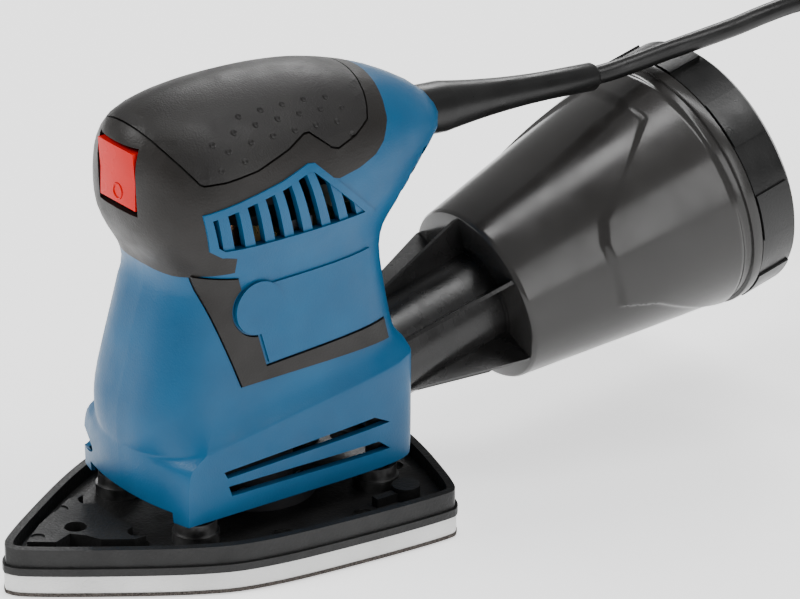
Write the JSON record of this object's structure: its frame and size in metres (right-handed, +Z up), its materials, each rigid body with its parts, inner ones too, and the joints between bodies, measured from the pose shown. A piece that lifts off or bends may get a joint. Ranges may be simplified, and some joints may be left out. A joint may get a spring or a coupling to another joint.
{
  "type": "detail mouse sander",
  "caption": "Handheld electric delta sander: grip body on an iron-shaped orbiting plate, clip-on conical dust box with filter, rocker switch and mains cord.",
  "frame": {"origin": "on the motor axis at the sanding face, which rests on z = 0", "axes": "+Z up along the motor axis; -Y towards the pointed nose of the plate and the switch; +Y towards the dust box and the cord; +X the side with the name panel seen from the front right"},
  "size_m": [0.1312, 0.4815, 0.151],
  "materials": {
    "blue_shell": "satin moulded",
    "black_plastic": "fine textured",
    "soft_grip": "matt soft-touch",
    "red_switch": "glossy",
    "black_cord": "satin",
    "smoke_plastic": "smoke tinted, translucent",
    "dark_smoke": "satin",
    "steel": "bright",
    "laminate": "laminated",
    "winding": "enamelled wire",
    "brass": "plain",
    "carbon": "pressed carbon",
    "copper_bars": "turned",
    "inner_plastic": "moulded",
    "zinc": "die cast",
    "film": "glossy",
    "foam": "closed-cell foam",
    "abrasive": "gritty",
    "filter_paper": "pleated"
  },
  "bodies": {
    "machine": {"housing_left": "blue_shell", "housing_right": "blue_shell", "grip_hood": "black_plastic", "grip_pad": "soft_grip", "side_trim_left": "black_plastic", "side_trim_right": "black_plastic", "housing_screws": "steel", "switch_body": "inner_plastic", "motor_stator": "laminate", "stator_windings": "winding", "upper_bearing": "steel", "bearing_bridge": "inner_plastic", "brush_holders": "brass", "carbon_brushes": "carbon", "brush_springs": "steel", "suppression_capacitor": "film", "air_guide": "inner_plastic", "chassis_plate": "inner_plastic", "lower_bearing": "steel", "swing_legs": "inner_plastic", "leg_screws": "steel", "dust_duct": "inner_plastic", "port_seal": "black_cord", "cord_clamp": "inner_plastic", "clamp_screws": "steel", "strain_relief": "black_cord", "inner_leads": "black_cord", "power_cord": "black_cord", "cord_coil": "black_cord", "cord_tie": "black_cord", "plug_body": "black_cord", "plug_pins": "brass"},
    "rotor": {"rotor_shaft": "steel", "rotor_core": "laminate", "rotor_windings": "winding", "commutator": "copper_bars", "fan_wheel": "inner_plastic", "balance_weight": "zinc"},
    "plate": {"drive_bearing": "steel", "plate_carrier": "inner_plastic", "carrier_screws": "steel", "leg_feet": "steel", "sanding_plate": "black_plastic", "backing_pad": "foam", "abrasive_sheet": "abrasive"},
    "switch": {"switch_rocker": "red_switch"},
    "dust_box": {"dust_container": "smoke_plastic", "dust_neck": "dark_smoke"},
    "filter": {"filter_frame": "inner_plastic", "filter_pleats": "filter_paper"},
    "cap": {"end_cap": "black_plastic"}
  },
  "joints": [
    {"name": "rotor_spin", "type": "hinge", "parent": "machine", "child": "rotor", "pos_m": [0, 0, 0.06], "axis": [0, 0, 1], "continuous": true},
    {"name": "plate_orbit", "type": "hinge", "parent": "rotor", "child": "plate", "pos_m": [0, 0.0008, 0.02], "axis": [0, 0, 1], "continuous": true},
    {"name": "switch_rock", "type": "hinge", "parent": "machine", "child": "switch", "pos_m": [0, -0.041, 0.1273], "axis": [-1, 0, 0], "range_deg": [0, 10]},
    {"name": "dust_box_slide", "type": "slide", "parent": "machine", "child": "dust_box", "axis": [0, 0.9703, 0.2419], "range_m": [0, 0.014]},
    {"name": "filter_slide", "type": "slide", "parent": "dust_box", "child": "filter", "axis": [0, 0.9703, 0.2419], "range_m": [0, 0.009]},
    {"name": "cap_turn", "type": "hinge", "parent": "filter", "child": "cap", "pos_m": [0, 0.045, 0.0432], "axis": [0, 0.9703, 0.2419], "range_deg": [0, 20]}
  ],
  "couplings": [
    {"joint": "plate_orbit", "follows": "rotor_spin", "ratio": -1}
  ]
}
